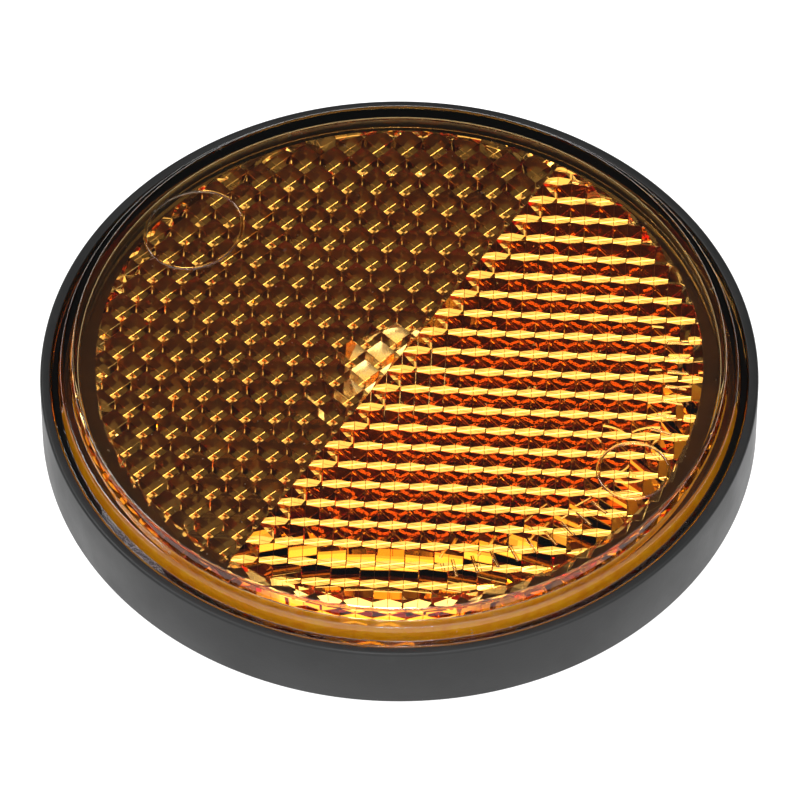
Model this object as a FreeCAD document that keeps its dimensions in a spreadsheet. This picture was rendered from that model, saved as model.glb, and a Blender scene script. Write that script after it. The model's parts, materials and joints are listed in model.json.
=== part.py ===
"""Round reflex reflector: an amber prismatic lens in a black cup housing, held by one captive screw.

Frame: origin on the screw's axis at the housing's flat back face, +Z out through the lens,
+Y along the line where the two halves of the prism field meet. Millimetres.
"""
import FreeCAD, Part
import math
import os

import Sketcher
from FreeCAD import Placement, Rotation, Vector

SIZES = [
    # housing
    ("housing_diameter", 85.0),
    ("housing_draft", 0.2),
    ("housing_height", 9.1),
    ("lip_wall", 1.2),
    ("lip_round", 0.35),
    ("base_chamfer", 0.3),
    ("floor_thickness", 1.8),
    ("lip_step", 0.1),
    ("seat_width", 1.8),
    ("boss_height", 3.2),
    ("boss_wall", 1.6),
    # lens
    ("lens_gap", 0.1),
    ("flange_height", 2.5),
    ("wall_draft", 0.2),
    ("flange_ledge", 0.9),
    ("lower_tier_height", 2.05),
    ("tier_ledge", 1.2),
    ("upper_tier_height", 1.75),
    ("skirt_wall", 3.1),
    ("plate_thickness", 2.6),
    ("field_margin", 2.2),
    ("pin_side", 1.985),
    ("pin_land", 0.05),
    ("pin_root", 0.8),
    ("seam_distance", 0.9),
    ("left_columns", 0.25),
    ("left_rows", 1.75),
    ("right_rows", 0.55),
    # raised marks on the lens
    ("mark_height", 0.2),
    ("mark_line", 0.4),
    ("ring_diameter", 8.8),
    ("ring_inset", 6.0),
    ("oval_length", 13.0),
    ("oval_width", 11.2),
    ("oval_inset", 7.7),
    ("bar_length", 2.6),
    ("bar_inset", 5.7),
    # screw, washers and nut
    ("screw_diameter", 8.0),
    ("screw_length", 25.0),
    ("screw_chamfer", 0.8),
    ("head_flats", 13.0),
    ("head_clearance", 0.24),
    ("pocket_gap", 0.05),
    ("thread_gap", 0.05),
    ("panel_thickness", 2.5),
    ("washer_clearance", 0.2),
    ("washer_diameter", 16.0),
    ("washer_thickness", 1.6),
    ("spring_clearance", 0.1),
    ("spring_diameter", 14.8),
    ("spring_thickness", 2.0),
    ("spring_slit", 1.2),
    ("nut_flats", 13.0),
    ("nut_height", 6.5),
    ("nut_countersink", 0.5),
]

HEX_CORNER = 2 / math.sqrt(3)       # a hexagon's corner circle over its flats
CORNER_SLOPE = math.tan(math.radians(30))  # the cone that cuts a hexagon's corners
FACE_SHARE = 0.475                  # where that cone starts, as a share of the flats
RING_ANGLE = 0.0                    # places of the marks round the lens, in degrees
OVAL_ANGLE = 174.5
BAR_ROWS = [(-46.0, -12.0, 9), (12.0, 36.0, 7)]
SLIT_SLANT = 20.0                   # lean of the spring washer's slit, in degrees

doc = FreeCAD.newDocument("reflector")
sheet = doc.addObject("Spreadsheet::Sheet", "Sizes")
for row, (alias, value) in enumerate(SIZES, start=1):
    sheet.set(f"A{row}", alias)
    sheet.set(f"B{row}", str(value))
    sheet.setAlias(f"B{row}", alias)
doc.recompute()


def cells(expression):
    """The same expression with each size's name pointing at the sheet."""
    for alias, _ in SIZES:
        expression = expression.replace(f"[{alias}]", f"Sizes.{alias}")
    return expression


def size(expression):
    """An expression's value now, in millimetres."""
    return float(sheet.evalExpression(cells(expression)))


def bind(obj, **expressions):
    for prop, expression in expressions.items():
        obj.setExpression(prop.replace("__", "."), cells(expression))


def body_named(name):
    body = doc.addObject("PartDesign::Body", name.title().replace("_", ""))
    body.Label = name
    return body


def origin_plane(body, role):
    return next(f for f in body.Origin.OriginFeatures if f.Role == role)


def profile(body, name, points):
    """A closed outline on the XZ plane, each corner held at its (radius, height) expressions."""
    sketch = body.newObject("Sketcher::SketchObject", name)
    sketch.AttachmentSupport = (origin_plane(body, "XZ_Plane"), "")
    sketch.MapMode = "FlatFace"
    corners = [Vector(size(r), size(z), 0) for r, z in points]
    for i, start in enumerate(corners):
        sketch.addGeometry(Part.LineSegment(start, corners[(i + 1) % len(corners)]), False)
    for i in range(len(corners)):
        sketch.addConstraint(Sketcher.Constraint("Coincident", i, 2, (i + 1) % len(corners), 1))
    for i, pair in enumerate(points):
        for kind, axis, text in (("DistanceX", -2, pair[0]), ("DistanceY", -1, pair[1])):
            value = size(text)
            if text == "0":
                sketch.addConstraint(Sketcher.Constraint("PointOnObject", i, 1, axis))
                continue
            ends = (-1, 1, i, 1) if value >= 0 else (i, 1, -1, 1)
            held = sketch.addConstraint(Sketcher.Constraint(kind, *ends, abs(value)))
            sign = "" if value >= 0 else "-"
            sketch.setExpression(f"Constraints[{held}]", cells(f"{sign}({text})"))
    return sketch


def turned(body, name, points, cut=False):
    """The outline turned once round Z, added to the body or cut from it."""
    sketch = profile(body, name + "Outline", points)
    feature = body.newObject("PartDesign::Groove" if cut else "PartDesign::Revolution", name)
    feature.Profile = sketch
    feature.ReferenceAxis = (sketch, ["V_Axis"])
    feature.Angle = 360
    sketch.Visibility = False
    doc.recompute()
    return feature


def primitive(body, kind, name, height_at, **expressions):
    """A PartDesign primitive standing on the XY plane at the height given."""
    feature = body.newObject("PartDesign::" + kind, name)
    feature.AttachmentSupport = (origin_plane(body, "XY_Plane"), "")
    feature.MapMode = "FlatFace"
    if kind.endswith("Prism"):
        feature.Polygon = 6
    bind(feature, AttachmentOffset__Base__z=height_at, **expressions)
    doc.recompute()
    return feature


def ring_edges(feature, radius, height):
    """Names of the round edges with this radius at this height."""
    names = []
    for number, edge in enumerate(feature.Shape.Edges, start=1):
        curve = edge.Curve
        if isinstance(curve, Part.Circle) and abs(curve.Radius - radius) < 1e-4:
            if abs(curve.Center.z - height) < 1e-4:
                names.append(f"Edge{number}")
    if not names:
        raise ValueError(f"no edge of radius {radius} at height {height}")
    return names


def dressed(body, kind, name, radius, height, amount):
    """A fillet or chamfer on the body's round edge at that radius and height."""
    base = body.Tip
    feature = body.newObject("PartDesign::" + kind, name)
    feature.Base = (base, ring_edges(base, size(radius), size(height)))
    bind(feature, **{"Radius" if kind == "Fillet" else "Size": amount})
    doc.recompute()
    return feature


def corner_cut(body, name, flats, face, into):
    """Takes the corners off a hexagon at its face. into is -1 below the face, 1 above it."""
    start = f"{FACE_SHARE} * {flats}"
    out = f"{HEX_CORNER / 2 + 0.1} * {flats}"
    drop = f"{face} + {into * CORNER_SLOPE} * ({out} - {start})"
    turned(body, name, [(start, face), (out, face), (out, drop)], cut=True)


def mark_strip(outer, inner, thickness, plane):
    """The band between two closed flat wires, raised by thickness from plane."""
    band = Part.Face(outer).cut(Part.Face(inner))
    band.translate(Vector(0, 0, plane))
    return band.extrude(Vector(0, 0, thickness))


# Housing: a shallow cup with a seat for the lens and a boss that holds the screw's head.
LIP_INNER = "([housing_diameter] / 2 - [lip_wall])"
CUP_INNER = f"({LIP_INNER} - [seat_width])"
SEAT_HEIGHT = "([housing_height] - [lip_step] - [flange_height])"
BASE_RADIUS = "([housing_diameter] / 2 - [housing_draft])"
BOSS_RADIUS = f"({HEX_CORNER / 2} * ([head_flats] + 2 * [pocket_gap]) + [boss_wall])"
BOSS_TOP = "([floor_thickness] + [boss_height])"
SHANK_HOLE = "([screw_diameter] / 2 + [pocket_gap])"


def make_housing():
    body = body_named("housing")
    turned(body, "Cup", [
        (SHANK_HOLE, "0"),
        (BASE_RADIUS, "0"),
        ("[housing_diameter] / 2", "[housing_height]"),
        (LIP_INNER, "[housing_height]"),
        (LIP_INNER, SEAT_HEIGHT),
        (CUP_INNER, SEAT_HEIGHT),
        (CUP_INNER, "[floor_thickness]"),
        (BOSS_RADIUS, "[floor_thickness]"),
        (BOSS_RADIUS, BOSS_TOP),
        (SHANK_HOLE, BOSS_TOP),
    ])
    primitive(body, "SubtractivePrism", "HeadPocket", "[floor_thickness]",
              Circumradius=f"{HEX_CORNER / 2} * ([head_flats] + 2 * [pocket_gap])",
              Height="[boss_height] + 1")
    dressed(body, "Fillet", "LipRound", "[housing_diameter] / 2", "[housing_height]", "[lip_round]")
    dressed(body, "Chamfer", "BaseEdge", BASE_RADIUS, "0", "[base_chamfer]")


# Lens: a two-tier dished cover whose underside carries the prism field, with raised marks on top.
FLANGE_TOP = f"({SEAT_HEIGHT} + [flange_height])"
LEDGE = f"({FLANGE_TOP} + [lower_tier_height])"
LENS_TOP = f"({LEDGE} + [upper_tier_height])"
PLATE_UNDER = f"({LENS_TOP} - [plate_thickness])"
LENS_RADIUS = f"({LIP_INNER} - [lens_gap])"
LOWER_TIER = f"({LENS_RADIUS} - [flange_ledge])"
UPPER_TIER = f"({LOWER_TIER} - [wall_draft] - [tier_ledge])"
PLATEAU = f"({UPPER_TIER} - [wall_draft])"
SKIRT_INNER = f"({LENS_RADIUS} - [skirt_wall])"
FIELD_RADIUS = f"({SKIRT_INNER} - [field_margin])"


def make_lens_cover():
    body = doc.addObject("PartDesign::Body", "LensCover")
    turned(body, "Cover", [
        (SKIRT_INNER, SEAT_HEIGHT),
        (LENS_RADIUS, SEAT_HEIGHT),
        (LENS_RADIUS, FLANGE_TOP),
        (LOWER_TIER, FLANGE_TOP),
        (f"({LOWER_TIER} - [wall_draft])", LEDGE),
        (UPPER_TIER, LEDGE),
        (PLATEAU, LENS_TOP),
        ("0", LENS_TOP),
        ("0", PLATE_UNDER),
        (SKIRT_INNER, PLATE_UNDER),
    ])
    return body


def pin_corner(centre, side, step, height):
    angle = math.radians(60 * step)
    return Vector(centre.x + side * math.cos(angle), centre.y + side * math.sin(angle), height)


def prism_block(side, valley, top, reach, turn, columns, rows):
    """A block of hexagonal pins, each ending in a cube corner, over a disc of the radius reach.

    With turn 0 a pin's high corners point at 0, 120 and 240 degrees, and with turn 1 at 60, 180
    and 300. columns and rows move the whole block along X and Y.
    """
    rise = side / math.sqrt(2)
    apex = valley - 2 * rise
    column, row = 1.5 * side, math.sqrt(3) * side
    count = int(reach / column) + 2
    pins = {}
    for i in range(-count, count + 1):
        for j in range(-2 * count, 2 * count + 1):
            centre = Vector(i * column + columns, j * row / 2 + rows, 0)
            if (i + j) % 2 == 0 and centre.Length < reach + side:
                pins[i, j] = centre
    beside = [(1, 1), (0, 2), (-1, 1), (-1, -1), (0, -2), (1, -1)]
    faces = []
    for (i, j), centre in pins.items():
        corners = []
        for step in range(6):
            height = valley if (step + turn) % 2 == 0 else apex + rise
            corners.append(pin_corner(centre, side, step, height))
        for step in range(6):
            if (i + beside[step][0], j + beside[step][1]) not in pins:
                a, b = corners[step], corners[(step + 1) % 6]
                faces.append([a, b, Vector(b.x, b.y, top), Vector(a.x, a.y, top)])
        for step in range(turn, 6, 2):
            faces.append([Vector(centre.x, centre.y, apex), corners[step - 1], corners[step],
                          corners[(step + 1) % 6]])
        faces.append([Vector(p.x, p.y, top) for p in corners])
    skin = Part.Compound([Part.Face(Part.makePolygon(f + f[:1])) for f in faces])
    skin.sewShape()
    block = Part.Solid(Part.Shell(skin.Faces))
    return block if block.Volume > 0 else block.reversed()


def make_prism_field(name, into, turn, columns, rows):
    """The pins on one side of the seam. into is -1 left of it and 1 right of it."""
    field = doc.addObject("Part::Feature", name)
    plate = size(PLATE_UNDER)
    reach = size(FIELD_RADIUS)
    depth = 2 * size("[pin_side]")
    block = prism_block(size("[pin_side]"), plate - size("[pin_land]"), plate + size("[pin_root]"),
                        reach, turn, columns, rows)
    disc = Part.makeCylinder(reach, 2 * depth, Vector(0, 0, plate - depth))
    corner = Vector(-size("[seam_distance]"), -2 * reach, plate - depth)
    corner.x -= 4 * reach if into < 0 else 0
    beside_seam = Part.makeBox(4 * reach, 4 * reach, 2 * depth, corner)
    field.Shape = block.common(disc.common(beside_seam)).removeSplitter()
    return field


def ellipse_wire(length, width):
    """A closed wire, its length along Y."""
    curve = Part.Ellipse(Vector(), length / 2, width / 2)
    wire = Part.Wire(curve.toShape())
    wire.rotate(Vector(), Vector(0, 0, 1), 90)
    return wire


def make_marks():
    """A plain ring, a plain oval and two rows of plain bars, raised on the lens."""
    marks = doc.addObject("Part::Feature", "LensMarks")
    line, sink = size("[mark_line]"), size("[mark_height]")
    plane = size(LENS_TOP) - sink
    pieces = []
    for length, width, inset, angle in (
        (size("[ring_diameter]"), size("[ring_diameter]"), size("[ring_inset]"), RING_ANGLE),
        (size("[oval_length]"), size("[oval_width]"), size("[oval_inset]"), OVAL_ANGLE),
    ):
        if length > width:
            wires = [ellipse_wire(length - d, width - d) for d in (0, 2 * line)]
        else:
            wires = [Part.Wire(Part.makeCircle(length / 2 - d)) for d in (0, line)]
        band = mark_strip(wires[0], wires[1], 2 * sink, plane)
        band.translate(Vector(size(PLATEAU) - inset, 0, 0))
        band.rotate(Vector(), Vector(0, 0, 1), angle)
        pieces.append(band)
    bar = size("[bar_length]")
    for first, last, count in BAR_ROWS:
        for n in range(count):
            corner = Vector(size(PLATEAU) - size("[bar_inset]") - bar / 2, -line / 2, plane)
            piece = Part.makeBox(bar, line, 2 * sink, corner)
            piece.rotate(Vector(), Vector(0, 0, 1), first + (last - first) * n / (count - 1))
            pieces.append(piece)
    marks.Shape = Part.Compound(pieces)
    return marks


def make_lens():
    lens = doc.addObject("Part::MultiFuse", "Lens")
    left = make_prism_field("LeftPrisms", -1, 0, size("[left_columns]"), size("[left_rows]"))
    right = make_prism_field("RightPrisms", 1, 1, 0, size("[right_rows]"))
    lens.Shapes = [make_lens_cover(), left, right, make_marks()]
    lens.Refine = True
    lens.Label = "lens"


# Fixing: a screw held by its head in the boss, two washers and a nut that clamp the panel.
PIN_TIPS = f"({PLATE_UNDER} - [pin_land] - {math.sqrt(2)} * [pin_side])"
HEAD_TOP = f"({PIN_TIPS} - [head_clearance])"
SCREW_END = "([floor_thickness] - [screw_length])"
WASHER_UNDER = "(-[panel_thickness] - [washer_thickness])"
SPRING_UNDER = f"({WASHER_UNDER} - [spring_thickness])"
NUT_UNDER = f"({SPRING_UNDER} - [nut_height])"


def make_screw():
    body = body_named("mounting_screw")
    primitive(body, "AdditivePrism", "Head", "[floor_thickness]",
              Circumradius=f"{HEX_CORNER / 2} * [head_flats]", Height=f"{HEAD_TOP} - [floor_thickness]")
    primitive(body, "AdditiveCylinder", "Shank", SCREW_END,
              Radius="[screw_diameter] / 2", Height="[screw_length] + [boss_height] / 2")
    corner_cut(body, "HeadCorners", "[head_flats]", HEAD_TOP, -1)
    dressed(body, "Chamfer", "ScrewTip", "[screw_diameter] / 2", SCREW_END, "[screw_chamfer]")


def make_plain_washer():
    body = body_named("plain_washer")
    primitive(body, "AdditiveCylinder", "Disc", WASHER_UNDER,
              Radius="[washer_diameter] / 2", Height="[washer_thickness]")
    primitive(body, "SubtractiveCylinder", "Bore", WASHER_UNDER,
              Radius="[screw_diameter] / 2 + [washer_clearance]", Height="[washer_thickness]")


def make_spring_washer():
    body = body_named("spring_washer")
    primitive(body, "AdditiveCylinder", "Coil", SPRING_UNDER,
              Radius="[spring_diameter] / 2", Height="[spring_thickness]")
    primitive(body, "SubtractiveCylinder", "Bore", SPRING_UNDER,
              Radius="[screw_diameter] / 2 + [spring_clearance]", Height="[spring_thickness]")
    slit = body.newObject("PartDesign::SubtractiveBox", "Slit")
    slit.AttachmentSupport = (origin_plane(body, "XY_Plane"), "")
    slit.MapMode = "FlatFace"
    slit.AttachmentOffset = Placement(Vector(), Rotation(Vector(1, 0, 0), SLIT_SLANT))
    bind(slit, Length="[spring_diameter]", Width="[spring_slit]", Height="3 * [spring_thickness]",
         AttachmentOffset__Base__z=f"{SPRING_UNDER} - [spring_thickness]")
    doc.recompute()


def make_nut():
    body = body_named("hex_nut")
    primitive(body, "AdditivePrism", "Hexagon", NUT_UNDER,
              Circumradius=f"{HEX_CORNER / 2} * [nut_flats]", Height="[nut_height]")
    corner_cut(body, "UpperCorners", "[nut_flats]", SPRING_UNDER, -1)
    corner_cut(body, "LowerCorners", "[nut_flats]", NUT_UNDER, 1)
    bore = "([screw_diameter] / 2 + [thread_gap])"
    primitive(body, "SubtractiveCylinder", "Thread", NUT_UNDER, Radius=bore, Height="[nut_height]")
    dressed(body, "Chamfer", "UpperSink", bore, SPRING_UNDER, "[nut_countersink]")
    dressed(body, "Chamfer", "LowerSink", bore, NUT_UNDER, "[nut_countersink]")


make_housing()
make_lens()
make_screw()
make_plain_washer()
make_spring_washer()
make_nut()
doc.recompute()

for obj in doc.Objects:
    if {"Invalid", "Error"} & set(obj.State):
        raise RuntimeError(f"{obj.Name} failed: {obj.State}")

SUB_PARTS = ["housing", "lens", "mounting_screw", "plain_washer", "spring_washer", "hex_nut"]
os.makedirs("parts", exist_ok=True)
for label in SUB_PARTS:
    shape = doc.getObjectsByLabel(label)[0].Shape
    if shape.isNull() or not shape.isValid() or len(shape.Solids) != 1:
        raise RuntimeError(f"{label} is not one valid solid")
    shape.exportStep(f"parts/{label}.step")
    box = shape.BoundBox
    print(f"{label}: {shape.Volume:.1f} mm3, {len(shape.Faces)} faces, "
          f"z {box.ZMin:.2f} to {box.ZMax:.2f}, x {box.XMin:.2f} to {box.XMax:.2f}")
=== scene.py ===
"""Looks of the round reflex reflector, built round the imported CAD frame. Lengths are in metres."""
import json
import math

import bmesh
import bpy
from mathutils import Matrix, Vector


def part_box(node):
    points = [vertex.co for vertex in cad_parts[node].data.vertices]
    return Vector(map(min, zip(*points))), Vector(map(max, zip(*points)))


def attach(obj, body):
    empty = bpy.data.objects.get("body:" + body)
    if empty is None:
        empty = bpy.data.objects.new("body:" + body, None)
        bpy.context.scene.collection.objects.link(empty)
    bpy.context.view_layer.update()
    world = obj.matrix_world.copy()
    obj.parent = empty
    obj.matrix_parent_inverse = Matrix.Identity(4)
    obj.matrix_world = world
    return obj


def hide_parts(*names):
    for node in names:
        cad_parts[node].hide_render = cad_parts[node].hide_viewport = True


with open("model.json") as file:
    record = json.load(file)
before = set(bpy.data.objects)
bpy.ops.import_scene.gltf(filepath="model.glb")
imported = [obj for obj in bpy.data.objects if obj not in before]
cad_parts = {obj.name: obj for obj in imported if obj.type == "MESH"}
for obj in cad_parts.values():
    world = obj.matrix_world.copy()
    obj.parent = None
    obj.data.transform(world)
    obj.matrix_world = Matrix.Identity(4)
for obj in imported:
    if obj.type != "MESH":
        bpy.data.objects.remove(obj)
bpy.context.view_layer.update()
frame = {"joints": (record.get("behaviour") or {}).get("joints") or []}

MM = 0.001
HOUSING_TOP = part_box("housing")[1].z
LENS_LOW, LENS_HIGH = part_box("lens")
SCREW_LOW, SCREW_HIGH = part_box("mounting_screw")
WASHER_LOW, WASHER_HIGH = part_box("plain_washer")
SPRING_LOW, SPRING_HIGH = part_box("spring_washer")
NUT_LOW, NUT_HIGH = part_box("hex_nut")

ROUND_STEPS = 240          # segments round the large turned shapes
FILLET_STEPS = 5
ON_SURFACE = 0.1 * MM      # a face nearer than this to a surface counts as part of it

# Housing
LIP_RADIUS = 42.5 * MM
BASE_RADIUS = 42.3 * MM
LIP_INNER = 41.3 * MM
CUP_INNER = 39.5 * MM
SEAT_HEIGHT = LENS_LOW.z
FLOOR_THICKNESS = 1.8 * MM
BOSS_TOP = FLOOR_THICKNESS + 3.2 * MM
BOSS_RADIUS = 9.16 * MM
POCKET_FLATS = 13.1 * MM
SHANK_HOLE = 4.05 * MM

# Lens
LENS_RADIUS = 41.2 * MM
FLANGE_TOP = SEAT_HEIGHT + 2.5 * MM
LEDGE = FLANGE_TOP + 2.05 * MM
LENS_TOP = LEDGE + 1.75 * MM
PLATE_UNDER = LENS_TOP - 2.6 * MM
LOWER_TIER = 40.3 * MM
UPPER_TIER = 38.9 * MM
WALL_DRAFT = 0.2 * MM
SKIRT_INNER = 38.1 * MM
FIELD_RADIUS = 35.9 * MM
PIN_SIDE = 1.985 * MM
PIN_LAND = 0.05 * MM
PIN_ROOT = 0.8 * MM
PIN_EDGE = 0.05 * MM       # how far the prism edges are rounded back
FIELD_DEPTH = 4 * MM       # the block that trims the prisms reaches below their tips
SEAM = -0.9 * MM           # the line between the halves of the prism field
LEFT_PINS = (0.25 * MM, 1.75 * MM)
RIGHT_PINS = (0, 0.55 * MM)
PLATEAU = UPPER_TIER - WALL_DRAFT
GLOW_MIDDLE = Vector((0.54, -0.84))   # the skirt's inner wall carries a painted glow, bright orange, on an arc round here, the side facing the camera
GLOW_REACH = 0.1          # the cosine of the angle from there to the arc's ends

# Marks. An inset is from the edge of the lens's flat top to the mark's middle
MARK_HEIGHT = LENS_HIGH.z - LENS_TOP
MARK_LINE = 0.4 * MM
RING_ACROSS, RING_INSET = 8.8 * MM, 6.0 * MM
OVAL_LENGTH, OVAL_WIDTH, OVAL_INSET = 13 * MM, 11.2 * MM, 7.7 * MM
OVAL_PLACE = math.radians(174.5)
BAR_LENGTH, BAR_INSET = 2.6 * MM, 5.7 * MM
BAR_ROWS = ((-46, -12, 9), (12, 36, 7))   # first and last place in degrees, and the count

# Screw, washers and nut
SCREW_RADIUS = 4.0 * MM
THREAD_PITCH = 1.25 * MM
THREAD_DEPTH = 0.68 * MM
HEAD_FLATS = 13.0 * MM
HEX_CORNER = 2 / math.sqrt(3)   # a hexagon's width over corners for each unit over flats
FACE_SHARE = 0.475         # radius of a head's or nut's flat end for each unit over flats
PLAIN_BORE, PLAIN_RADIUS = 4.2 * MM, 8 * MM
SPRING_BORE, SPRING_RADIUS = 4.1 * MM, 7.4 * MM
SPRING_SLIT, SPRING_SLANT = 1.2 * MM, math.radians(20)
NUT_BORE, NUT_SINK = 4.05 * MM, 0.5 * MM


def linked(name, mesh):
    obj = bpy.data.objects.new(name, mesh)
    bpy.context.scene.collection.objects.link(obj)
    return obj


def from_bmesh(name, bm):
    bmesh.ops.recalc_face_normals(bm, faces=bm.faces)
    mesh = bpy.data.meshes.new(name)
    bm.to_mesh(mesh)
    bm.free()
    return linked(name, mesh)


def smoothed(obj, degrees=30):
    """Smooth shading, with edges sharper than the angle kept crisp."""
    obj.data.shade_smooth()
    obj.data.set_sharp_from_angle(angle=math.radians(degrees))
    return obj


def rounded(points, radii, steps=FILLET_STEPS):
    """A closed outline of (radius, height) points with each corner rounded by its own radius."""
    outline, count = [], len(points)
    for i, corner in enumerate(points):
        here = Vector(corner)
        if not radii[i]:
            outline.append(here)
            continue
        back = (Vector(points[i - 1]) - here).normalized()
        ahead = (Vector(points[(i + 1) % count]) - here).normalized()
        half = back.angle(ahead) / 2
        trim = radii[i] / math.tan(half)
        centre = here + (back + ahead).normalized() * radii[i] / math.sin(half)
        first = (here + back * trim - centre).normalized()
        last = (here + ahead * trim - centre).normalized()
        for k in range(steps + 1):
            outline.append(centre + first.slerp(last, k / steps) * radii[i])
    return outline


def turned(name, outline, steps=ROUND_STEPS):
    """The closed outline turned round Z. Points on the axis become single vertices."""
    bm = bmesh.new()
    rings = []
    for radius, height in outline:
        if radius < 1e-9:
            rings.append([bm.verts.new((0, 0, height))] * steps)
        else:
            angles = [2 * math.pi * k / steps for k in range(steps)]
            rings.append([bm.verts.new((radius * math.cos(a), radius * math.sin(a), height))
                          for a in angles])
    for ring, following in zip(rings, rings[1:] + rings[:1]):
        for k in range(steps):
            quad = [ring[k], ring[(k + 1) % steps], following[(k + 1) % steps], following[k]]
            corners = list(dict.fromkeys(quad))
            if len(corners) > 2:
                bm.faces.new(corners)
    return from_bmesh(name, bm)


def combined(obj, other, operation):
    """A boolean of obj with other, applied to obj's mesh."""
    modifier = obj.modifiers.new(operation, "BOOLEAN")
    modifier.operation, modifier.solver, modifier.object = operation, "EXACT", other
    bpy.context.view_layer.update()
    graph = bpy.context.evaluated_depsgraph_get()
    mesh = bpy.data.meshes.new_from_object(obj.evaluated_get(graph))
    obj.modifiers.clear()
    obj.data = mesh
    bpy.data.objects.remove(other)
    return obj


def prism_block(reach, valley, top, turn, shift):
    """A closed block of hexagonal pins, each ending in a cube corner, over a disc of that reach.

    With turn 0 a pin's high corners point at 0, 120 and 240 degrees, and with turn 1 at 60, 180
    and 300. shift moves the whole block along X and Y.
    """
    rise = PIN_SIDE / math.sqrt(2)
    apex = valley - 2 * rise
    column, row = 1.5 * PIN_SIDE, math.sqrt(3) * PIN_SIDE
    count = int(reach / column) + 2
    pins = {}
    for i in range(-count, count + 1):
        for j in range(-2 * count, 2 * count + 1):
            centre = Vector((i * column, j * row / 2)) + Vector(shift)
            if (i + j) % 2 == 0 and centre.length < reach + PIN_SIDE:
                pins[i, j] = centre
    beside = [(1, 1), (0, 2), (-1, 1), (-1, -1), (0, -2), (1, -1)]
    faces = []
    for (i, j), centre in pins.items():
        corners = []
        for step in range(6):
            angle = math.radians(60 * step)
            height = valley if (step + turn) % 2 == 0 else apex + rise
            corners.append(Vector((centre.x + PIN_SIDE * math.cos(angle),
                                   centre.y + PIN_SIDE * math.sin(angle), height)))
        for step in range(6):
            if (i + beside[step][0], j + beside[step][1]) not in pins:
                a, b = corners[step], corners[(step + 1) % 6]
                faces.append([a, b, Vector((b.x, b.y, top)), Vector((a.x, a.y, top))])
        for step in range(turn, 6, 2):
            faces.append([Vector((centre.x, centre.y, apex)), corners[step - 1], corners[step],
                          corners[(step + 1) % 6]])
        faces.append([Vector((p.x, p.y, top)) for p in corners])
    bm = bmesh.new()
    for outline in faces:
        bm.faces.new([bm.verts.new(p) for p in outline])
    bmesh.ops.remove_doubles(bm, verts=bm.verts, dist=1e-7)
    bmesh.ops.recalc_face_normals(bm, faces=bm.faces)
    ridges = [e for e in bm.edges if all(f.normal.z < -0.1 for f in e.link_faces)]
    bmesh.ops.bevel(bm, geom=ridges, offset=PIN_EDGE, segments=1, profile=0.5, affect="EDGES")
    return from_bmesh("prism_block", bm)


def half_disc(side, radius, low, high):
    """The part of a disc on one side of the line between the halves of the prism field."""
    bm = bmesh.new()
    half = math.acos(SEAM / radius)
    first, last = (half, 2 * math.pi - half) if side < 0 else (-half, half)
    angles = [first + (last - first) * k / ROUND_STEPS for k in range(ROUND_STEPS + 1)]
    rim = [(radius * math.cos(a), radius * math.sin(a)) for a in angles]
    ends = [[bm.verts.new((x, y, z)) for x, y in rim] for z in (low, high)]
    bm.faces.new(ends[0])
    bm.faces.new(ends[1])
    for k in range(len(rim)):
        n = (k + 1) % len(rim)
        bm.faces.new([ends[0][k], ends[0][n], ends[1][n], ends[1][k]])
    return from_bmesh("half_disc", bm)


def swept_mark(bm, length, width, inset, angle):
    """A raised rounded line round an ellipse, its length along Y, added to bm."""
    half, steps = MARK_LINE / 2, 160
    section = rounded([(-half, -MARK_HEIGHT), (half, -MARK_HEIGHT), (half, MARK_HEIGHT),
                       (-half, MARK_HEIGHT)], [0, 0, 0.19 * MM, 0.19 * MM], 4)
    placed = Matrix.Rotation(angle, 4, "Z") @ Matrix.Translation((PLATEAU - inset, 0, LENS_TOP))
    rings = []
    for k in range(steps):
        t = 2 * math.pi * k / steps
        middle = Vector(((width / 2 - half) * math.cos(t), (length / 2 - half) * math.sin(t), 0))
        out = Vector((math.cos(t) * length, math.sin(t) * width, 0)).normalized()
        rings.append([bm.verts.new(placed @ (middle + out * p.x + Vector((0, 0, p.y))))
                      for p in section])
    for k in range(steps):
        here, ahead = rings[k], rings[(k + 1) % steps]
        for i in range(len(section)):
            n = (i + 1) % len(section)
            bm.faces.new([here[i], here[n], ahead[n], ahead[i]])


def bar_mark(bm, angle):
    """One short raised bar pointing at the lens's middle, added to bm."""
    placed = (Matrix.Rotation(angle, 4, "Z")
              @ Matrix.Translation((PLATEAU - BAR_INSET, 0, LENS_TOP))
              @ Matrix.Diagonal((BAR_LENGTH, MARK_LINE, 2 * MARK_HEIGHT, 1)))
    made = bmesh.ops.create_cube(bm, size=1, matrix=placed)["verts"]
    upper = [v for v in made if v.co.z > LENS_TOP]
    rim = [e for e in {e for v in upper for e in v.link_edges} if all(v in upper for v in e.verts)]
    bmesh.ops.bevel(bm, geom=rim, offset=0.17 * MM, segments=4, profile=0.5, affect="EDGES")


def make_marks():
    """Plain shapes where a reflector carries its moulded marks."""
    bm = bmesh.new()
    swept_mark(bm, RING_ACROSS, RING_ACROSS, RING_INSET, 0)
    swept_mark(bm, OVAL_LENGTH, OVAL_WIDTH, OVAL_INSET, OVAL_PLACE)
    for first, last, count in BAR_ROWS:
        for k in range(count):
            bar_mark(bm, math.radians(first + (last - first) * k / (count - 1)))
    return from_bmesh("marks", bm)


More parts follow.
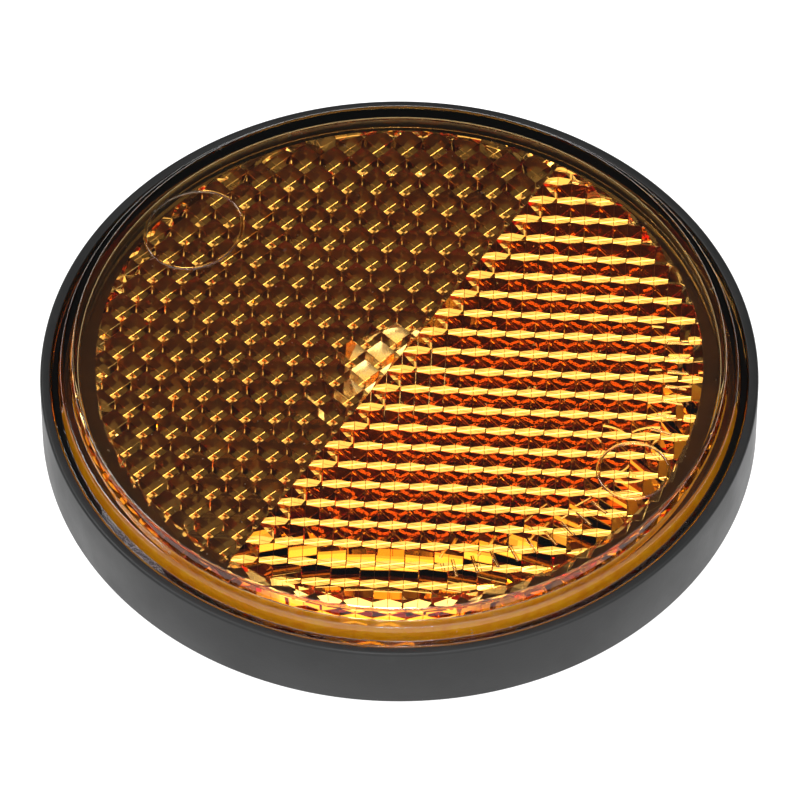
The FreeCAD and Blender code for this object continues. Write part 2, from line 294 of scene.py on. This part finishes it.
def make_lens():
    """The lens: a turned cover, the raised marks and the two halves of the prism field."""
    edge, inner = 0.4 * MM, 0.3 * MM
    outline = rounded([
        (SKIRT_INNER, SEAT_HEIGHT), (LENS_RADIUS, SEAT_HEIGHT), (LENS_RADIUS, FLANGE_TOP),
        (LOWER_TIER, FLANGE_TOP), (LOWER_TIER - WALL_DRAFT, LEDGE), (UPPER_TIER, LEDGE),
        (PLATEAU, LENS_TOP), (0, LENS_TOP), (0, PLATE_UNDER), (SKIRT_INNER, PLATE_UNDER),
    ], [0.1 * MM, 0.1 * MM, 0.15 * MM, 0.15 * MM, edge, 0.2 * MM, edge, 0, 0, inner])
    lens = turned("lens_amber", outline)
    combined(lens, make_marks(), "UNION")
    for side, turn, shift in ((-1, 0, LEFT_PINS), (1, 1, RIGHT_PINS)):
        half = half_disc(side, FIELD_RADIUS, PLATE_UNDER - FIELD_DEPTH, PLATE_UNDER + PIN_ROOT / 2)
        block = prism_block(FIELD_RADIUS, PLATE_UNDER - PIN_LAND, PLATE_UNDER + PIN_ROOT,
                            turn, shift)
        combined(half, block, "INTERSECT")
        combined(lens, half, "UNION")
    smoothed(lens, 25)
    lens.data.materials.clear()
    lens.data.materials.append(amber_material())
    lens.data.materials.append(painted_glow_material())
    for face in lens.data.polygons:
        radius = face.center.xy.length
        prism = radius < FIELD_RADIUS + ON_SURFACE and face.center.z < PLATE_UNDER
        level = abs(face.normal.z) > 0.9999
        if prism or level:
            face.use_smooth = False
        # the arc of the skirt's inner wall facing the camera gets the painted glow material
        painted_glow = face.center.xy.normalized().dot(GLOW_MIDDLE) > GLOW_REACH
        face.material_index = int(painted_glow and abs(radius - SKIRT_INNER) < ON_SURFACE
                                  and face.center.z < PLATE_UNDER - inner)
    return lens


def make_housing():
    """The housing: a turned cup whose centre boss has a hexagon pocket for the screw's head."""
    outline = rounded([
        (SHANK_HOLE, 0), (BASE_RADIUS, 0), (LIP_RADIUS, HOUSING_TOP), (LIP_INNER, HOUSING_TOP),
        (LIP_INNER, SEAT_HEIGHT), (CUP_INNER, SEAT_HEIGHT), (CUP_INNER, FLOOR_THICKNESS),
        (BOSS_RADIUS, FLOOR_THICKNESS), (BOSS_RADIUS, BOSS_TOP), (SHANK_HOLE, BOSS_TOP),
    ], [0, 0.3 * MM, 0.35 * MM, 0.15 * MM, 0, 0.1 * MM, 0.5 * MM, 0.4 * MM, 0.2 * MM, 0])
    housing = turned("housing_cup", outline)
    bm = bmesh.new()
    bmesh.ops.create_cone(bm, cap_ends=True, segments=6, radius1=POCKET_FLATS / math.sqrt(3),
                          radius2=POCKET_FLATS / math.sqrt(3), depth=BOSS_TOP,
                          matrix=Matrix.Translation((0, 0, FLOOR_THICKNESS + BOSS_TOP / 2)))
    combined(housing, from_bmesh("pocket", bm), "DIFFERENCE")
    smoothed(housing, 30)
    housing.data.materials.clear()
    housing.data.materials.append(housing_material("black_plastic", (0.010, 0.0102, 0.0104), 0.42))
    housing.data.materials.append(inside_material())
    for face in housing.data.polygons:
        inside = face.center.xy.length < CUP_INNER + ON_SURFACE
        face.material_index = int(inside and face.center.z > FLOOR_THICKNESS - ON_SURFACE)
    return housing


def hexagon(name, flats, low, high, chamfers, bore=0):
    """A hexagon with its corners turned off at the ends listed, and a bore where one is given."""
    corner, face, edge = HEX_CORNER * flats / 2, FACE_SHARE * flats, 0.12 * MM
    bm = bmesh.new()
    bmesh.ops.create_cone(bm, cap_ends=True, segments=6, radius1=corner, radius2=corner,
                          depth=high - low, matrix=Matrix.Translation((0, 0, (low + high) / 2))
                          @ Matrix.Rotation(math.radians(30), 4, "Z"))
    upright = [e for e in bm.edges if abs(e.verts[0].co.z - e.verts[1].co.z) > (high - low) / 2]
    bmesh.ops.bevel(bm, geom=upright, offset=edge, segments=3, profile=0.5, affect="EDGES")
    prism = from_bmesh(name, bm)
    drop = (corner * 1.1 - face) * math.tan(math.radians(30))
    outline = [(bore, low), (face, low), (corner * 1.1, low + drop), (corner * 1.1, high - drop),
               (face, high), (bore, high)]
    radii = [0, edge, 0, 0, edge, 0]
    if "low" not in chamfers:
        outline[1:3], radii[1:3] = [(corner * 1.1, low)], [0]
    if "high" not in chamfers:
        outline[-3:-1], radii[-3:-1] = [(corner * 1.1, high)], [0]
    if bore:
        outline = ([(bore, high - NUT_SINK), (bore, low + NUT_SINK), (bore + NUT_SINK, low)]
                   + outline[1:-1] + [(bore + NUT_SINK, high)])
        radii = [0, 0, 0] + radii[1:-1] + [0]
    return combined(prism, turned("turned_off", rounded(outline, radii), 120), "INTERSECT")


def threaded(name, low, high):
    """A threaded rod, chamfered at its lower end. The thread is a right-hand one."""
    around, rows_per_turn, chamfer = 72, 14, 0.8 * MM
    rows = int((high - low) / (THREAD_PITCH / rows_per_turn))
    bm = bmesh.new()
    rings = []
    for row in range(rows + 1):
        z = low + (high - low) * row / rows
        ring = []
        for k in range(around):
            turn = (z / THREAD_PITCH - k / around) % 1
            depth = max(0.0, min(1.0, 1.25 - 2.5 * abs(turn - 0.5)))
            radius = SCREW_RADIUS - THREAD_DEPTH * depth
            radius = min(radius, SCREW_RADIUS - chamfer + (z - low))
            angle = 2 * math.pi * k / around
            ring.append(bm.verts.new((radius * math.cos(angle), radius * math.sin(angle), z)))
        rings.append(ring)
    for lower, upper in zip(rings, rings[1:]):
        for k in range(around):
            n = (k + 1) % around
            bm.faces.new([lower[k], lower[n], upper[n], upper[k]])
    bm.faces.new(rings[0])
    bm.faces.new(rings[-1])
    return from_bmesh(name, bm)


def make_screw():
    """The hexagon screw: a head chamfered on top, and its threaded shank."""
    head = hexagon("hex_screw", HEAD_FLATS, FLOOR_THICKNESS, SCREW_HIGH.z, ("high",))
    rod = threaded("rod", SCREW_LOW.z, FLOOR_THICKNESS + 1 * MM)
    return smoothed(combined(head, rod, "UNION"), 35)


def make_ring(name, bore, radius, low, high, edge):
    """A flat ring with all four edges rounded."""
    outline = rounded([(bore, low), (radius, low), (radius, high), (bore, high)], [edge] * 4)
    return turned(name, outline, 160)


def make_spring_washer():
    """The spring washer, flattened, with its slanting slit."""
    ring = make_ring("split_washer", SPRING_BORE, SPRING_RADIUS, SPRING_LOW.z, SPRING_HIGH.z,
                     0.15 * MM)
    thickness = SPRING_HIGH.z - SPRING_LOW.z
    placed = (Matrix.Translation((0, 0, SPRING_LOW.z - thickness))
              @ Matrix.Rotation(SPRING_SLANT, 4, "X")
              @ Matrix.Translation((SPRING_RADIUS, SPRING_SLIT / 2, 1.5 * thickness))
              @ Matrix.Diagonal((2 * SPRING_RADIUS, SPRING_SLIT, 3 * thickness, 1)))
    bm = bmesh.new()
    bmesh.ops.create_cube(bm, size=1, matrix=placed)
    return smoothed(combined(ring, from_bmesh("slit", bm), "DIFFERENCE"), 30)


def node(tree, kind, **values):
    made = tree.nodes.new("ShaderNode" + kind)
    for name, value in values.items():
        made.inputs[name].default_value = value
    return made


def new_material(name):
    material = bpy.data.materials.new(name)
    material.use_nodes = True
    tree = material.node_tree
    return material, tree, tree.nodes["Principled BSDF"]


def noise(tree, scale, detail=4.0, stretch=None):
    """Noise in the object's own coordinates, in metres, and stretched if asked."""
    texture = node(tree, "TexNoise", Scale=scale, Detail=detail, Roughness=0.6)
    place = node(tree, "TexCoord").outputs["Object"]
    if stretch:
        mapping = node(tree, "Mapping", Scale=stretch)
        tree.links.new(place, mapping.inputs["Vector"])
        place = mapping.outputs["Vector"]
    tree.links.new(place, texture.inputs["Vector"])
    return texture.outputs["Fac"]


def ranged(tree, value, low, high, out_low, out_high):
    made = node(tree, "MapRange", **{"From Min": low, "From Max": high,
                                     "To Min": out_low, "To Max": out_high})
    tree.links.new(value, made.inputs["Value"])
    return made.outputs["Result"]


def blended(tree, factor, first, second):
    made = tree.nodes.new("ShaderNodeMix")
    made.data_type = "RGBA"
    made.inputs[6].default_value, made.inputs[7].default_value = (*first, 1), (*second, 1)
    tree.links.new(factor, made.inputs[0])
    return made.outputs[2]


def bumped(tree, height, strength, distance):
    made = node(tree, "Bump", Strength=strength, Distance=distance)
    tree.links.new(height, made.inputs["Height"])
    return made.outputs["Normal"]


def amber_material():
    """Clear amber acrylic with a faint moulding haze and a few dull specks of dust."""
    material, tree, shader = new_material("amber_acrylic")
    shader.inputs["Base Color"].default_value = (1, 1, 1, 1)
    shader.inputs["IOR"].default_value = 1.49
    shader.inputs["Transmission Weight"].default_value = 1.0
    specks = ranged(tree, noise(tree, 900, 2), 0.72, 0.76, 0.0, 0.35)
    tree.links.new(specks, shader.inputs["Roughness"])
    tree.links.new(bumped(tree, noise(tree, 120, 1), 0.05, 0.00002), shader.inputs["Normal"])
    volume = node(tree, "VolumeAbsorption", Color=(0.991, 0.765, 0.2, 1), Density=270.0)
    tree.links.new(volume.outputs[0], tree.nodes["Material Output"].inputs["Volume"])
    return material


def painted_glow_material():
    """Bright orange painted glow for an arc of the wall inside the lens's rim, on the side facing
    the camera: it stands in for light seen through the lens there. The finish is assumed.
    """
    material, tree, shader = new_material("painted_glow_rim")
    mottle = ranged(tree, noise(tree, 700), 0.35, 0.65, 0.0, 1.0)
    colour = blended(tree, mottle, (0.92, 0.45, 0.0), (1.0, 0.62, 0.01))
    tree.links.new(colour, shader.inputs["Base Color"])
    tree.links.new(bumped(tree, noise(tree, 1500), 0.5, 0.00005), shader.inputs["Normal"])
    shader.inputs["Roughness"].default_value = 0.8
    return material


def housing_material(name, colour, roughness):
    """Black moulded plastic: fine spark-eroded grain, slow gloss changes and pale scuffs."""
    material, tree, shader = new_material(name)
    scuffs = ranged(tree, noise(tree, 260, 6), 0.55, 0.8, 0.0, 0.35)
    paler = tuple(2.2 * c for c in colour)
    tree.links.new(blended(tree, scuffs, colour, paler), shader.inputs["Base Color"])
    gloss = ranged(tree, noise(tree, 90), 0.3, 0.7, roughness - 0.06, roughness + 0.08)
    tree.links.new(gloss, shader.inputs["Roughness"])
    tree.links.new(bumped(tree, noise(tree, 2600, 2), 0.25, 0.00004), shader.inputs["Normal"])
    shader.inputs["Specular IOR Level"].default_value = 0.29
    return material


def inside_material():
    """The cup's inside: dark brown, dull and slightly uneven. The finish is assumed."""
    material, tree, shader = new_material("cup_inside")
    tone = ranged(tree, noise(tree, 150, 5), 0.35, 0.7, 0.0, 1.0)
    tree.links.new(blended(tree, tone, (0.036, 0.013, 0.005), (0.055, 0.02, 0.008)),
                   shader.inputs["Base Color"])
    tree.links.new(ranged(tree, noise(tree, 400, 3), 0.3, 0.7, 0.5, 0.65),
                   shader.inputs["Roughness"])
    shader.inputs["Specular IOR Level"].default_value = 0.15
    return material


def steel_material(name, pale, dull, roughness, stretch):
    """Plated steel with drawn or ground lines, dull blotches and slight pitting."""
    material, tree, shader = new_material(name)
    blotch = ranged(tree, noise(tree, 180, 6), 0.4, 0.7, 0.0, 1.0)
    tree.links.new(blended(tree, blotch, pale, dull), shader.inputs["Base Color"])
    shader.inputs["Metallic"].default_value = 1.0
    grain = noise(tree, 900, 3, stretch)
    tree.links.new(ranged(tree, grain, 0.3, 0.7, roughness - 0.07, roughness + 0.12),
                   shader.inputs["Roughness"])
    tree.links.new(bumped(tree, grain, 0.12, 0.00002), shader.inputs["Normal"])
    return material


def emission_material(name, colour, strength, diffuse):
    """A pale surface lit from within, as a light table is, over a diffuse one."""
    material, tree, shader = new_material(name)
    shader.inputs["Base Color"].default_value = (*diffuse, 1)
    shader.inputs["Emission Color"].default_value = (*colour, 1)
    shader.inputs["Emission Strength"].default_value = strength
    shader.inputs["Roughness"].default_value = 0.9
    return material


ZINC, DULL_ZINC = (0.64, 0.64, 0.63), (0.42, 0.43, 0.44)
SPRING_STEEL, DULL_SPRING = (0.55, 0.55, 0.56), (0.4, 0.4, 0.42)
PARTS = [
    (make_housing(), "root", "housing", "housing_plastic"),
    (make_lens(), "root", "lens", "amber_lens"),
    (make_screw(), "root", "mounting_screw", "zinc_steel"),
    (smoothed(make_ring("flat_washer", PLAIN_BORE, PLAIN_RADIUS, WASHER_LOW.z, WASHER_HIGH.z,
                        0.2 * MM)), "washers", "plain_washer", "zinc_steel"),
    (make_spring_washer(), "washers", "spring_washer", "spring_steel"),
    (smoothed(hexagon("full_nut", HEAD_FLATS, NUT_LOW.z, NUT_HIGH.z, ("low", "high"), NUT_BORE)),
     "nut", "hex_nut", "zinc_steel"),
]
STEELS = {
    "mounting_screw": ("drawn_zinc", ZINC, DULL_ZINC, 0.24, (1, 1, 0.15)),
    "plain_washer": ("punched_zinc", ZINC, DULL_ZINC, 0.3, (0.2, 1, 1)),
    "spring_washer": ("spring_wire", SPRING_STEEL, DULL_SPRING, 0.34, (1, 1, 0.1)),
    "hex_nut": ("cold_formed_zinc", ZINC, DULL_ZINC, 0.27, (1, 1, 0.2)),
}
for part, body, replaced, slot in PARTS:
    if replaced in STEELS:
        part.data.materials.clear()
        part.data.materials.append(steel_material(*STEELS[replaced]))
    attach(part, body)
    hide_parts(replaced)

# Stage: a pale floor under the lowest place that the nut reaches
slide = next(j for j in frame["joints"] if j["name"] == "washers_slide")
FLOOR_GAP = 0.5 * MM
FLOOR_Z = NUT_LOW.z - slide["range_m"][1] - FLOOR_GAP
bm = bmesh.new()
bmesh.ops.create_grid(bm, size=3.0, matrix=Matrix.Translation((0, 0, FLOOR_Z)))
stage_floor = from_bmesh("stage_floor", bm)
stage_floor.data.materials.append(emission_material("pale_floor", (1, 1, 1), 0.97, (0.3, 0.3, 0.3)))

# Camera: far off with a long lens
AZIMUTH, ELEVATION = math.radians(32.7), math.radians(50.6)
FOCAL, SENSOR = 1100.0, 36.0
FRAME_WIDTH = 94.7 * MM
AIM_HEIGHT, AIM_RIGHT = 4.45 * MM, 0.08 * MM
back = Vector((math.sin(AZIMUTH) * math.cos(ELEVATION), -math.cos(AZIMUTH) * math.cos(ELEVATION),
               math.sin(ELEVATION)))
right = Vector((math.cos(AZIMUTH), math.sin(AZIMUTH), 0))
camera_data = bpy.data.cameras.new("camera")
camera_data.lens, camera_data.sensor_width = FOCAL, SENSOR
camera_data.clip_start, camera_data.clip_end = 0.1, 20.0
camera = linked("camera", camera_data)
aim = Vector((0, 0, AIM_HEIGHT)) + right * AIM_RIGHT
camera.location = aim + back * FRAME_WIDTH * FOCAL / SENSOR
camera.rotation_mode = "QUATERNION"
camera.rotation_quaternion = (-back).to_track_quat("-Z", "Y")
bpy.context.scene.camera = camera


def area_light(name, azimuth, elevation, distance, width, height, power):
    """A soft panel aimed at the object from that azimuth and elevation."""
    a, e = math.radians(azimuth), math.radians(elevation)
    away = Vector((math.sin(a) * math.cos(e), -math.cos(a) * math.cos(e), math.sin(e)))
    data = bpy.data.lights.new(name, "AREA")
    data.shape, data.size, data.size_y = "RECTANGLE", width, height
    data.energy = power
    light = linked(name, data)
    light.location = away * distance
    light.rotation_mode = "QUATERNION"
    light.rotation_quaternion = (-away).to_track_quat("-Z", "Y")


area_light("key", 32, 76.3, 3.4, 2.4, 1.8, 18)
area_light("left_panel", 262, 54, 3.4, 1.1, 1.1, 34)
area_light("sparkle", 36, 78, 3.35, 0.5, 0.5, 22)

# World: dark behind the object's far side, brighter towards the camera's side
WORLD_FAR, WORLD_NEAR = 0.04, 1.85
scene = bpy.context.scene
world = bpy.data.worlds.new("studio")
scene.world = world
world.use_nodes = True
sky = world.node_tree
towards = sky.nodes.new("ShaderNodeVectorMath")
towards.operation = "DOT_PRODUCT"
towards.inputs[1].default_value = back
coordinates = sky.nodes.new("ShaderNodeTexCoord")
sky.links.new(coordinates.outputs["Generated"], towards.inputs[0])
fade = sky.nodes.new("ShaderNodeMapRange")
fade.interpolation_type = "SMOOTHSTEP"
fade.inputs["From Min"].default_value = 0.1
fade.inputs["From Max"].default_value = 0.85
fade.inputs["To Min"].default_value = WORLD_FAR
fade.inputs["To Max"].default_value = WORLD_NEAR
sky.links.new(towards.outputs["Value"], fade.inputs["Value"])
sky.links.new(fade.outputs["Result"], sky.nodes["Background"].inputs["Strength"])
sky.nodes["Background"].inputs["Color"].default_value = (1, 1, 1, 1)

scene.view_settings.view_transform = "Standard"
scene.cycles.max_bounces = 32
scene.cycles.transmission_bounces = 32
scene.cycles.glossy_bounces = 12
scene.cycles.transparent_max_bounces = 16
